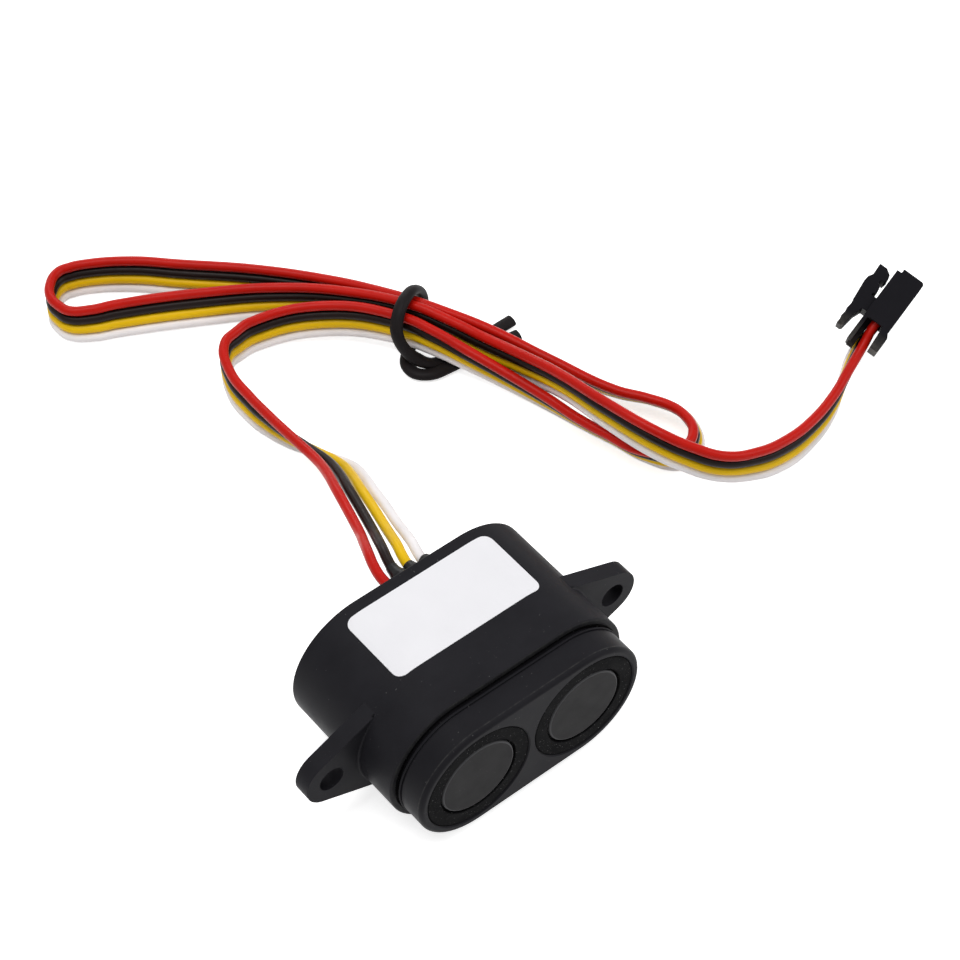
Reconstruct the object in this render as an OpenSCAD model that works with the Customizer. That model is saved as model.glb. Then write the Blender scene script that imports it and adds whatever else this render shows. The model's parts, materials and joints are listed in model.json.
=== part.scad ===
// Dual ultrasonic distance sensor with a sealed housing and a folded four-wire lead.
// Millimetres. +Z is up, the transducers face -Y, and the housing rests on z = 0.

/* [Housing] */
// Height of the housing
body_h = 25.6; // [24:0.1:32]
// Depth of the housing behind the seam
body_d = 25.3; // [23:0.1:40]
// Wall of the housing beside the bezel and the rear sealant
wall = 1.8; // [1.2:0.1:2.4]
// Distance from the rubber rings to the ends of the housing's bore
ring_margin = 0.85; // [0.5:0.05:3]
// Chamfer of the housing's front and rear edges
body_edge = 0.35; // [0:0.05:0.8]
// Width of the thin rim that stands round the seam
rim_w = 1; // [0.4:0.05:1.1]
// Depth of the seam behind the rim
seam_d = 0.9; // [0.5:0.1:1.5]
// Width of the ledge that the circuit board rests on
board_ledge = 1; // [0.6:0.1:1.6]

/* [Mounting ears] */
// Distance between the two mounting holes
hole_pitch = 56.8; // [54:0.1:72]
// Diameter of the mounting holes
hole_d = 4.5; // [3:0.1:5.5]
// Radius of the ear round its hole
ear_tip_r = 4.7; // [4.3:0.1:6]
// Thickness of the ears
ear_t = 3; // [2:0.1:5]
// Distance of the ears' front from the front of the bezel
ear_setback = 14; // [11:0.1:20]
// Slope of the ears' straight edges
ear_slope = 23.7; // [15:0.1:30]
// Radius of the cove where an ear meets the housing
ear_cove = 0.3; // [0.1:0.1:2]

/* [Bezel] */
// How far the bezel's front stands out of the housing
collar_d = 6; // [4.5:0.1:8]
// How much smaller the collar is than the housing, on each side
collar_inset = 1.2; // [1:0.1:1.6]
// Round of the collar's front edge
collar_round = 0.8; // [0.3:0.1:1]
// Open gap between the housing's rim and the collar
seam_gap = 0.6; // [0.4:0.1:1.5]
// Depth of the bezel's plug inside the housing
plug_d = 6.5; // [5.5:0.1:8]
// Opening behind each rubber ring
lead_hole_d = 15; // [12:0.5:17]
// Thickness of the stop behind each rubber ring
stop_t = 1.5; // [1:0.1:2]

/* [Transducers] */
// Distance between the two transducer axes
transducer_pitch = 21.2; // [21:0.1:24]
// Diameter of a transducer can
can_d = 14; // [10:0.1:16]
// Length of a transducer can
can_l = 9; // [7.5:0.1:9.4]
// Side wall of a can
can_wall = 0.8; // [0.5:0.1:1.5]
// Thickness of a can's face
can_face = 0.7; // [0.4:0.1:1.2]
// Outer diameter of a rubber ring
ring_d = 19.9; // [18:0.1:20.4]
// How far the rubber rings and the cans lie behind the bezel's front
ring_recess = 0.15; // [0:0.05:0.5]
// Width of the gap round a can's face
face_gap = 0.4; // [0.2:0.05:0.8]
// Depth of the gap round a can's face
face_gap_d = 0.8; // [0.3:0.1:1.5]
// Diameter of a piezo disc
piezo_d = 9; // [7:0.1:10]
// Thickness of a piezo disc
piezo_t = 0.4; // [0.2:0.1:1]
// Thickness of a damping disc
felt_t = 1.5; // [1:0.1:2.5]
// Distance between the two pins of a transducer
pin_pitch = 3; // [2:0.1:5]
// Diameter of a transducer pin
pin_d = 0.6; // [0.4:0.1:1]

/* [Electronics] */
// Thickness of the circuit board
board_t = 1.2; // [0.8:0.1:1.6]
// Width and length of the drive transformer
transformer_w = 7.5; // [6:0.1:9]
// Height of the drive transformer
transformer_h = 5; // [3:0.1:5.5]
// Diameter of the capacitors
capacitor_d = 4; // [3:0.1:5]
// Height of the capacitors
capacitor_h = 4.5; // [3:0.1:5.5]
// Side of the microcontroller
micro_w = 4.6; // [3:0.1:5]
// Length of the amplifier chip
amplifier_w = 4.6; // [3:0.1:5]

/* [Label] */
// Length of the label
label_l = 28.6; // [12:0.1:32]
// Width of the label
label_w = 14; // [8:0.1:18]
// Thickness of the label
label_t = 0.12; // [0.05:0.01:0.3]
// Corner radius of the label
label_r = 1.6; // [0.5:0.1:4]
// Distance of the label's near edge from the front of the bezel
label_setback = 15; // [8:0.1:17]
// Sideways place of the label's middle
label_x = 0.1; // [-2:0.1:2]

/* [Lead] */
// Outer diameter of each wire
wire_d = 1.8; // [1:0.1:1.8]
// Distance between the wires where they leave the housing
exit_pitch = 2.5; // [2:0.1:2.5]
// Sideways place of the middle of the wire row
exit_x = 1.5; // [0:0.1:3]
// Height of the wire row above the middle of the housing
exit_rise = 8.1; // [6:0.1:8.3]
// How far the sealant lies behind the housing's rear edge
sealant_recess = 1; // [0.4:0.1:2]
// How far the sealant lumps stand out behind the housing
lump_out = 1.7; // [1:0.1:1.7]
// Radius of the largest sealant lump
lump_r = 2.3; // [1.6:0.1:2.4]
// Diameter of the twist tie
tie_d = 1.9; // [1:0.1:1.9]

/* [Plug] */
// Distance between the plug's contacts
plug_pitch = 2.5; // [2.4:0.1:2.6]
// Length of the plug
plug_l = 16.2; // [15:0.1:18]
// Thickness of the plug without its lever
plug_t = 5.3; // [4.8:0.1:6]
// Width of the plug
plug_w = 12.4; // [11.6:0.1:14]
// Length of the open skirts behind the closed part
skirt_l = 5.8; // [4:0.1:6]
// Thickness of the skirts
skirt_t = 0.75; // [0.5:0.05:0.9]
// Thickness of the ribs between the wires
rib_t = 0.4; // [0.3:0.05:0.5]
// Side of each contact cavity
cavity_w = 2.1; // [2:0.05:2.2]
// Side of each window in the mating face
window_w = 1.4; // [0.8:0.1:1.8]
// How far the wires reach into the closed part
wire_in = 1.7; // [1:0.1:2.5]
// Length of a contact
contact_l = 6.8; // [4:0.1:7]
// Width of the latch lever
lever_w = 11; // [6:0.1:12]

/* [Clearances] */
// Gap round a pressed or sealed fit, on each side
fit = 0.05; // [0.02:0.01:0.1]
// Gap round a part that drops into place, on each side
slide = 0.1; // [0.05:0.01:0.2]

/* [Hidden] */
$fn = 64;

// Planes along the depth, from the front of the bezel to the tips of the sealant lumps
front_y = -(collar_d + body_d + lump_out) / 2;
rim_y = front_y + collar_d;
rear_y = rim_y + body_d;
seam_y = rim_y + seam_d;
collar_y = rim_y - seam_gap;
plug_end_y = rim_y + plug_d;
ring_y = front_y + ring_recess;
can_end_y = ring_y + can_l;
ring_end_y = plug_end_y - stop_t;
sealant_y = rear_y - sealant_recess;
lump_y = rear_y + lump_out;
board_y = plug_end_y + transformer_h + 1.8;
board_back_y = board_y + board_t;
felt_y = ring_y + can_face + piezo_t;

// Sections, measured from the middle height
mid_z = body_h / 2;
bore_r = mid_z - wall;
body_w = transducer_pitch + ring_d + 2 * ring_margin + 2 * wall;
body_span = body_w - body_h;
collar_r = mid_z - collar_inset;
can_r = can_d / 2;
tube_r = can_r - can_wall;
ring_r = ring_d / 2;
shoulder_r = bore_r - board_ledge;
exit_z = mid_z + exit_rise;

// Ear outline
ear_y = front_y + ear_setback;
hole_x = hole_pitch / 2;
tip_x = hole_x + ear_tip_r * sin(ear_slope);
tip_z = ear_tip_r * cos(ear_slope);
root_x = body_span / 2 + mid_z * 0.4;
root_z = tip_z + (tip_x - root_x) * tan(ear_slope);

// Plug: its rear centre lies at plug_at, turned by plug_turn
plug_at = [101.4, 15.6, 6.2];
plug_turn = [21, -28, 8];
plug_axis = [
    cos(plug_turn.y) * cos(plug_turn.z),
    cos(plug_turn.y) * sin(plug_turn.z),
    -sin(plug_turn.y)
];
wire_end = skirt_l + wire_in;

function in_plug_row(x) =
    let (at = plug_at + x * plug_axis)
    [at.x, at.y, at.z, plug_turn.x, plug_pitch];

// Lead: the middle of the four-wire ribbon, its roll about its own run and its wire pitch.
// It leaves the rear, lies along the ground, folds three times and ends in the plug.
// A roll of 0 stands the ribbon on edge with the red wire on top.
lead_pitch = wire_d + 0.1;
lead_rows = [
    [exit_x, board_back_y, exit_z, -90, exit_pitch],
    [exit_x, lump_y, exit_z, -90, exit_pitch],
    [exit_x, lump_y + 1.8, exit_z, -90, exit_pitch],
    [exit_x + 1.2, lump_y + 6.5, exit_z - 0.4, -90, exit_pitch],
    [5.5, 27.7, 15.8, -93, 2.3],
    [9.6, 41.8, 13.1, -72, 2.2],
    [13.1, 52.1, 7.1, -55, 2.5],
    [11.8, 65.8, 4.3, -17, 2.3],
    // first fold, behind the sensor
    [11, 73.9, 4, 2, lead_pitch],
    [15.4, 87.5, 4, -5, lead_pitch],
    [21.9, 88.6, 3.9, -10, lead_pitch],
    // through the tie
    [42.6, 71.1, 6, -3, lead_pitch],
    [47.2, 58.5, 5.7, 12, lead_pitch],
    [53, 42.2, 3.6, 25, lead_pitch],
    // second fold, beside the sensor
    [56.1, 29.5, 3.5, 33, lead_pitch],
    [61.7, 18.4, 3.7, 15, lead_pitch],
    [65, 18.3, 3.9, -2, lead_pitch],
    [67.5, 19.9, 4, -16, lead_pitch],
    [69.3, 26.7, 3.8, -36, lead_pitch],
    [64.1, 36.8, 3.5, -36, lead_pitch],
    [52.8, 60.2, 5.8, -2, lead_pitch],
    // through the tie again
    [46.9, 73.2, 5.8, 1, lead_pitch],
    [39.3, 87.1, 4.5, 8, lead_pitch],
    [19.8, 108.6, 4, 18, lead_pitch],
    // third fold, the far one
    [6.3, 119.8, 4, 10, lead_pitch],
    [2, 121, 4, 9, lead_pitch],
    [-2.8, 116.7, 4, -2, lead_pitch],
    [-2.4, 111.7, 4, -10, lead_pitch],
    [5.1, 107.2, 4, -20, lead_pitch],
    [30.7, 92.3, 4, -12, lead_pitch],
    // through the tie for the third time, then over the second fold
    [45.6, 71.8, 6.6, -1, lead_pitch],
    [50.6, 58, 6.3, -2, lead_pitch],
    [53.8, 40.7, 9.6, 8, lead_pitch],
    [56.8, 19.2, 10.9, -1, lead_pitch],
    [63.8, 10.2, 7.6, 4, lead_pitch],
    [76.4, 7.2, 4.5, -6, lead_pitch],
    [91.2, 10.4, 4, 2, lead_pitch],
    // into the plug
    in_plug_row(0),
    in_plug_row(3.5),
    in_plug_row(wire_end)
];

// Twist tie: one turn round the three strands, two tails along the ground
tie_rows = [
    [62.2, 64.1, 1],
    [55.2, 64, 1],
    [48.4, 64.1, 1],
    [44, 64.6, 1.3],
    [41.9, 66, 2.6],
    [40.3, 68, 5],
    [40.1, 69.7, 8.3],
    [42.1, 71.3, 10.9],
    [46.6, 73.7, 11],
    [49.6, 75.1, 7.8],
    [50.2, 75.2, 3.6],
    [49, 74.4, 1.3],
    [46.2, 72.4, 1],
    [42.4, 69.6, 1],
    [40.4, 67.2, 1],
    [40.4, 64.8, 1],
    [42.3, 62.9, 1],
    [45.8, 62.2, 1],
    [49.6, 61.9, 1],
    [55.6, 61.1, 1],
    [60.8, 60.5, 1]
];

// ---- Sweeping ----
function place(row) = [row[0], row[1], row[2]];
function run_length(rows, i) = norm(place(rows[i + 1]) - place(rows[i]));
function rate(rows, i) = (rows[i + 1] - rows[i]) / run_length(rows, i);
function inner_rate(rows, i) =
    let (before = run_length(rows, i - 1), after = run_length(rows, i))
    (rate(rows, i - 1) * after + rate(rows, i) * before) / (before + after);
function row_rate(rows, i) =
    i == 0 ? rate(rows, 0)
    : i == len(rows) - 1 ? rate(rows, i - 1)
    : inner_rate(rows, i);
function between(rows, i, t) =
    let (d = run_length(rows, i))
    rows[i] * (2 * t ^ 3 - 3 * t ^ 2 + 1)
    + row_rate(rows, i) * d * (t ^ 3 - 2 * t ^ 2 + t)
    + rows[i + 1] * (3 * t ^ 2 - 2 * t ^ 3)
    + row_rate(rows, i + 1) * d * (t ^ 3 - t ^ 2);
function smooth(rows, steps) = concat(
    [for (i = [0:len(rows) - 2]) for (k = [0:steps - 1]) between(rows, i, k / steps)],
    [rows[len(rows) - 1]]
);
function unit(v) = v / norm(v);
function heading(path, i) = unit(
    place(path[min(i + 1, len(path) - 1)]) - place(path[max(i - 1, 0)])
);
function level_side(dir) = unit(cross(dir, [0, 0, 1]));

// Centre line of one wire: k steps from the middle of the ribbon, across its run
function wire_line(path, k) = [
    for (i = [0:len(path) - 1])
        let (
            dir = heading(path, i),
            side = level_side(dir),
            across = cos(path[i][3]) * cross(side, dir) + sin(path[i][3]) * side
        )
        place(path[i]) + k * path[i][4] * across
];

module swept_tube(line, d, sides = 8) {
    count = len(line);
    points = [
        for (i = [0:count - 1])
            let (
                dir = heading(line, i),
                side = level_side(dir),
                up = cross(side, dir)
            )
            for (s = [0:sides - 1])
                line[i] + d / 2 * (cos(s * 360 / sides) * side + sin(s * 360 / sides) * up)
    ];
    walls = [
        for (i = [0:count - 2])
            for (s = [0:sides - 1])
                let (a = i * sides + s, b = i * sides + (s + 1) % sides)
                each [[a, b, a + sides], [b, b + sides, a + sides]]
    ];
    start = [for (s = [sides - 1:-1:0]) s];
    finish = [for (s = [0:sides - 1]) (count - 1) * sides + s];
    polyhedron(points, concat(walls, [start, finish]));
}

// ---- Shared forms ----
// A racetrack solid: its child is half a section, x out from the middle and y the depth
module racetrack(span) {
    for (end = [-1, 1])
        translate([end * span / 2, 0, mid_z])
            rotate([-90, 0, 0])
                rotate([0, 0, end * -90])
                    rotate_extrude(angle = 180)
                        children();
    translate([span / 2, 0, mid_z])
        rotate([0, -90, 0])
            linear_extrude(span) {
                children();
                mirror([1, 0])
                    children();
            }
}

// A band of a half section: from radius r0 to r1 and from depth y0 to y1
module band(r0, r1, y0, y1) {
    translate([r0, y0])
        square([r1 - r0, y1 - y0]);
}

// A disc, tube or revolved part on a transducer axis; its child lies in (radius, depth)
module on_axis(x) {
    translate([x, 0, mid_z])
        rotate([-90, 0, 0])
            rotate_extrude()
                children();
}

// A plate standing across the depth, from y0 to y1; its child lies in (x, z)
module across_depth(y0, y1) {
    translate([0, y1, mid_z])
        rotate([90, 0, 0])
            linear_extrude(y1 - y0)
                children();
}

module round_rect(size, r) {
    for (x = [-1, 1])
        for (y = [-1, 1])
            translate([x * (size.x / 2 - r), y * (size.y / 2 - r)])
                circle(r);
    square([size.x - 2 * r, size.y], center = true);
    square([size.x, size.y - 2 * r], center = true);
}

// ---- Housing ----
module housing() {
    color([0.13, 0.13, 0.14])
        difference() {
            union() {
                racetrack(body_span)
                    body_section();
                for (side = [0, 1])
                    mirror([side, 0, 0])
                        ear();
            }
            // pocket of the seam, bore of the bezel's plug, board ledge and rear bore
            racetrack(body_span)
                band(0, mid_z - rim_w, rim_y - 1, seam_y);
            racetrack(body_span)
                band(0, bore_r, seam_y - 0.5, plug_end_y);
            racetrack(body_span)
                band(0, shoulder_r, plug_end_y - 0.5, board_y);
            racetrack(body_span)
                band(0, bore_r, board_y, rear_y + 1);
            for (side = [-1, 1])
                translate([side * hole_x, ear_y - 1, mid_z])
                    rotate([-90, 0, 0])
                        cylinder(h = ear_t + 2, d = hole_d);
        }
}

// Half section of the housing's outside, with chamfered front and rear edges
module body_section() {
    polygon([
        [0, rim_y],
        [mid_z - body_edge, rim_y],
        [mid_z, rim_y + body_edge],
        [mid_z, rear_y - body_edge],
        [mid_z - body_edge, rear_y],
        [0, rear_y]
    ]);
}

module ear_outline() {
    polygon([
        [body_span / 2, 0],
        [body_span / 2, -min(root_z, mid_z - 1)],
        [root_x, -root_z],
        [tip_x, -tip_z],
        [hole_x, 0],
        [tip_x, tip_z],
        [root_x, root_z],
        [body_span / 2, min(root_z, mid_z - 1)]
    ]);
    translate([hole_x, 0])
        circle(ear_tip_r);
}

module ear() {
    across_depth(ear_y, ear_y + ear_t)
        ear_outline();
    // cove between the ear's front and the round end of the housing
    intersection() {
        on_axis(body_span / 2)
            difference() {
                band(mid_z - 0.5, mid_z + ear_cove, ear_y - ear_cove, ear_y + 0.5);
                translate([mid_z + ear_cove, ear_y - ear_cove])
                    circle(ear_cove);
            }
        across_depth(ear_y - ear_cove - 1, ear_y + 1)
            ear_outline();
    }
}

// ---- Front ----
module bezel() {
    color([0.14, 0.14, 0.15])
        difference() {
            racetrack(body_span)
                collar_section();
            for (side = [-1, 1])
                translate([side * transducer_pitch / 2, 0, 0])
                    ring_bore();
        }
}

// Half section of the bezel: rounded collar, fine groove and lip, then the plug
module collar_section() {
    lip = 0.15;
    difference() {
        union() {
            band(0, collar_r - collar_round, front_y, collar_y);
            band(0, collar_r, front_y + collar_round, collar_y);
            translate([collar_r - collar_round, front_y + collar_round])
                circle(collar_round);
            band(collar_r - 0.5, collar_r + lip, collar_y - 0.35, collar_y);
        }
        band(collar_r - lip, collar_r + 1, collar_y - 0.7, collar_y - 0.35);
    }
    band(0, bore_r - slide, collar_y - 0.1, plug_end_y);
}

// Bore of a rubber ring: a lead-in at the front, the seat, and the opening behind it
module ring_bore() {
    edge = 0.2;
    on_axis(0) {
        band(0, ring_r + fit, front_y - 1, ring_end_y);
        band(0, lead_hole_d / 2, ring_end_y - 0.5, plug_end_y + 1);
        polygon([
            [0, front_y - 0.01],
            [ring_r + fit + edge, front_y - 0.01],
            [ring_r + fit, front_y + edge],
            [0, front_y + edge]
        ]);
    }
}

module bezel_seal() {
    color([0.05, 0.05, 0.05])
        difference() {
            racetrack(body_span)
                band(0, mid_z - rim_w - fit, seam_y - 0.6, seam_y);
            racetrack(body_span)
                band(0, bore_r - slide + fit, seam_y - 1, seam_y + 1);
        }
}

// ---- Transducers ----
// Rubber ring: a sleeve with a gap round the can's face and a lip behind the can
module isolating_ring(x) {
    edge = 0.3;
    color([0.09, 0.09, 0.1])
        on_axis(x)
            difference() {
                union() {
                    band(can_r - 1.5, ring_r - edge, ring_y, ring_end_y);
                    band(can_r - 1.5, ring_r, ring_y + edge, ring_end_y);
                    translate([ring_r - edge, ring_y + edge])
                        circle(edge);
                }
                band(0, can_r + fit, ring_y - 1, can_end_y);
                band(0, can_r + face_gap, ring_y - 1, ring_y + face_gap_d);
            }
}

// Can: a drawn cup, closed at the front, with a rounded edge
module transducer_can(x) {
    edge = 0.35;
    color([0.22, 0.22, 0.23])
        on_axis(x)
            difference() {
                union() {
                    band(0, can_r - edge, ring_y, can_end_y);
                    band(0, can_r, ring_y + edge, can_end_y);
                    translate([can_r - edge, ring_y + edge])
                        circle(edge);
                }
                band(0, tube_r, ring_y + can_face, can_end_y + 1);
            }
}

module piezo_disc(x) {
    color([0.75, 0.7, 0.6])
        on_axis(x)
            band(0, piezo_d / 2, ring_y + can_face, felt_y);
}

module damping_disc(x) {
    color([0.85, 0.85, 0.82])
        on_axis(x)
            band(0, tube_r - fit, felt_y, felt_y + felt_t);
}

module can_filling(x) {
    color([0.2, 0.2, 0.2])
        on_axis(x)
            band(0, tube_r - fit, felt_y + felt_t, can_end_y);
}

module transducer_leads() {
    color([0.75, 0.75, 0.75])
        for (axis = [-1, 1])
            for (pin = [-1, 1])
                translate([axis * transducer_pitch / 2 + pin * pin_pitch / 2, can_end_y, mid_z])
                    rotate([-90, 0, 0])
                        cylinder(h = board_y - can_end_y, d = pin_d, $fn = 16);
}

// ---- Electronics ----
module circuit_board() {
    color([0.05, 0.3, 0.15])
        racetrack(body_span)
            band(0, bore_r - slide, board_y, board_back_y);
}

// A chip on the front of the board, with a row of leads on two sides
module chip(x, z, w, h, t, pins) {
    pitch = h / pins;
    color([0.1, 0.1, 0.1])
        translate([x - w / 2, board_y - t, mid_z + z - h / 2])
            cube([w, t, h]);
    for (side = [-1, 1])
        for (i = [0:pins - 1])
            color([0.75, 0.75, 0.75])
                translate([
                    x + side * (w / 2 + 0.25) - 0.35,
                    board_y - t / 2,
                    mid_z + z - h / 2 + (i + 0.5) * pitch - pitch / 5
                ])
                    cube([0.7, t / 2, pitch * 0.4]);
}

module microcontroller() {
    chip(-transducer_pitch / 2, bore_r * 0.55, micro_w, micro_w, 1, 5);
}

module amplifier_chip() {
    chip(transducer_pitch / 2, bore_r * 0.55, amplifier_w, 3.8, 1.4, 4);
}

module drive_transformer() {
    flange = 0.8;
    color([0.12, 0.12, 0.12])
        translate([-transformer_w / 2, board_y - flange, mid_z - transformer_w / 2])
            cube([transformer_w, flange, transformer_w]);
    color([0.12, 0.12, 0.12])
        translate([-transformer_w / 2, board_y - transformer_h, mid_z - transformer_w / 2])
            cube([transformer_w, flange, transformer_w]);
    color([0.6, 0.35, 0.15])
        translate([0, board_y - transformer_h + flange / 2, mid_z])
            rotate([-90, 0, 0])
                cylinder(h = transformer_h - flange, d = transformer_w - 1.5);
}

module capacitors() {
    for (side = [-1, 1])
        color([0.35, 0.35, 0.4])
            translate([side * transducer_pitch * 0.4, board_y - capacitor_h, mid_z - bore_r * 0.5])
                rotate([-90, 0, 0])
                    cylinder(h = capacitor_h, d = capacitor_d);
}

// ---- Rear ----
// Sealant poured behind the board, with a lump drawn up round each wire
module rear_sealant() {
    color([0.05, 0.05, 0.05])
        difference() {
            union() {
                racetrack(body_span)
                    band(0, bore_r - fit, board_back_y, sealant_y);
                sealant_lump(-1, lump_r * 0.6, 0.4);
                sealant_lump(0, lump_r, 1);
                sealant_lump(1, lump_r * 0.8, 0.8);
                sealant_lump(2, lump_r * 0.9, 0.9);
                translate([exit_x + exit_pitch, rear_y + lump_out * 0.4, exit_z + lump_r * 0.6])
                    sphere(lump_out * 0.4, $fn = 24);
            }
            for (k = [-1.5:1:1.5])
                translate([exit_x + k * exit_pitch, board_back_y - 1, exit_z])
                    rotate([-90, 0, 0])
                        cylinder(h = lump_y - board_back_y + 2, d = wire_d + 2 * fit, $fn = 32);
        }
}

// A lump round wire i, widest at the sealant and drawn in towards the wire
module sealant_lump(i, r, reach) {
    tip_y = rear_y + lump_out * reach;
    translate([exit_x + (i - 0.5) * exit_pitch, 0, exit_z])
        rotate([-90, 0, 0])
            rotate_extrude($fn = 32)
                polygon([
                    [0, sealant_y - 0.5],
                    [r, sealant_y - 0.5],
                    [r, rear_y],
                    [r * 0.85, (rear_y + tip_y) / 2],
                    [max(r * 0.55, wire_d * 0.62), tip_y],
                    [0, tip_y]
                ]);
}

// Label: a thin skin on the top that follows the round ends
module label() {
    color([0.95, 0.95, 0.96])
        intersection() {
            difference() {
                racetrack(body_span)
                    band(0, mid_z + label_t, front_y, rear_y);
                racetrack(body_span)
                    band(0, mid_z, front_y - 1, rear_y + 1);
            }
            translate([label_x, front_y + label_setback + label_w / 2, mid_z])
                linear_extrude(mid_z + 1)
                    round_rect([label_l, label_w], label_r);
        }
}

// ---- Lead ----
ribbon = smooth(lead_rows, 2);
tie_line = smooth(tie_rows, 3);

module red_wire() {
    color([0.85, 0.12, 0.12])
        swept_tube(wire_line(ribbon, 1.5), wire_d);
}

module black_wire() {
    color([0.08, 0.08, 0.08])
        swept_tube(wire_line(ribbon, 0.5), wire_d);
}

module yellow_wire() {
    color([0.95, 0.85, 0.15])
        swept_tube(wire_line(ribbon, -0.5), wire_d);
}

module white_wire() {
    color([0.95, 0.95, 0.92])
        swept_tube(wire_line(ribbon, -1.5), wire_d);
}

module twist_tie() {
    color([0.05, 0.05, 0.06])
        swept_tube(tie_line, tie_d);
}

// ---- Plug ----
module in_plug() {
    translate(plug_at)
        rotate(plug_turn)
            children();
}

// Side view of the plug in (length, thickness), the lever on the +Y side
module plug_profile() {
    half = plug_t / 2;
    difference() {
        translate([skirt_l, -half])
            square([plug_l - skirt_l, plug_t]);
        // step in the mating face and eased corner
        translate([plug_l - 0.8, half - 0.9])
            square([2, 2]);
        translate([plug_l, -half])
            rotate(45)
                square(0.6, center = true);
    }
    // skirts that guide the wires; the lower one stands a little proud
    translate([-0.4, half - skirt_t])
        square([skirt_l + 1.4, skirt_t]);
    polygon([
        [1, -half - 0.5],
        [skirt_l - 1.2, -half - 0.5],
        [skirt_l - 0.4, -half],
        [skirt_l + 1, -half],
        [skirt_l + 1, -half + skirt_t],
        [1, -half + skirt_t - 0.5]
    ]);
}

// Side view of the latch lever: thumb pad, hinge and hook
module lever_profile() {
    half = plug_t / 2;
    hinge = skirt_l + 0.6;
    polygon([
        // neck, then the slot under the hook
        [hinge, half - 0.2],
        [hinge + 2.9, half - 0.2],
        [hinge + 2.9, half + 1.1],
        [hinge + 3.3, half + 1],
        [hinge + 3.4, half + 0.6],
        [hinge + 4.7, half + 0.6],
        [hinge + 5.2, half + 1.2],
        [hinge + 5.9, half + 1.2],
        [hinge + 5.9, half + 0.5],
        // nose
        [hinge + 6.8, half + 0.3],
        [hinge + 7.5, half + 0.5],
        [hinge + 8.2, half + 1.6],
        [hinge + 8.2, half + 3.1],
        [hinge + 6, half + 3],
        [hinge + 5.2, half + 3.5],
        [hinge + 4.2, half + 3.6],
        // thumb pad with its three grip steps
        [hinge + 0.3, half + 3.2],
        [hinge + 0.1, half + 3],
        [hinge - 1.6, half + 3.2],
        [hinge - 1.8, half + 3],
        [hinge - 3.5, half + 3.2],
        [hinge - 3.7, half + 3],
        [hinge - 5.4, half + 3.1],
        [hinge - 5.4, half + 2.3],
        [hinge - 5.1, half + 1.9],
        [hinge - 1.5, half + 1.5],
        [hinge, half + 0.9]
    ]);
}

module connector_housing() {
    color([0.08, 0.08, 0.09])
        in_plug() {
            for (k = [-1, 0, 1])
                translate([1, 0.2, k * plug_pitch - rib_t / 2])
                    cube([skirt_l, (plug_t - skirt_t) / 2, rib_t]);
            difference() {
                union() {
                    translate([0, 0, -plug_w / 2])
                        linear_extrude(plug_w)
                            plug_profile();
                    translate([0, 0, -lever_w / 2])
                        linear_extrude(lever_w)
                            lever_profile();
                }
                for (k = [-1.5:1:1.5])
                    translate([0, 0, k * plug_pitch])
                        contact_cavity();
            }
        }
}

// Cavity of one contact: open to the wire, a smaller window with a lead-in at the front
module contact_cavity() {
    front = plug_l - 1;
    translate([skirt_l - 0.5, -cavity_w / 2, -cavity_w / 2])
        cube([front - skirt_l + 0.5, cavity_w, cavity_w]);
    translate([front - 0.5, -window_w / 2, -window_w / 2])
        cube([2, window_w, window_w]);
    translate([plug_l - 0.3, -window_w / 2 - 0.2, -window_w / 2 - 0.2])
        cube([1, window_w + 0.4, window_w + 0.4]);
}

// Crimped receptacle contacts, each on the floor of its cavity, against its wire
module connector_contacts() {
    w = cavity_w - 2 * slide;
    color([0.75, 0.72, 0.62])
        in_plug()
            for (k = [-1.5:1:1.5])
                translate([wire_end, -cavity_w / 2, k * plug_pitch - w / 2])
                    difference() {
                        cube([contact_l, w, w]);
                        translate([contact_l / 2, 0.25, 0.25])
                            cube([contact_l, w - 0.5, w - 0.5]);
                    }
}

housing();
bezel();
bezel_seal();
isolating_ring(-transducer_pitch / 2);  // transmitter_ring
isolating_ring(transducer_pitch / 2);  // receiver_ring
transducer_can(-transducer_pitch / 2);  // transmitter_can
transducer_can(transducer_pitch / 2);  // receiver_can
piezo_disc(-transducer_pitch / 2);  // transmitter_piezo
piezo_disc(transducer_pitch / 2);  // receiver_piezo
damping_disc(-transducer_pitch / 2);  // transmitter_felt
damping_disc(transducer_pitch / 2);  // receiver_felt
can_filling(-transducer_pitch / 2);  // transmitter_filling
can_filling(transducer_pitch / 2);  // receiver_filling
transducer_leads();
circuit_board();
microcontroller();
amplifier_chip();
drive_transformer();
capacitors();
rear_sealant();
label();
red_wire();
black_wire();
yellow_wire();
white_wire();
connector_housing();
connector_contacts();
twist_tie();
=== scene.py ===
"""Dual ultrasonic distance sensor with a folded four-wire lead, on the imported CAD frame.

Lengths are metres unless a comment says millimetres. +Z is up, the transducers face -Y and
the housing rests on z = 0.
"""

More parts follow.
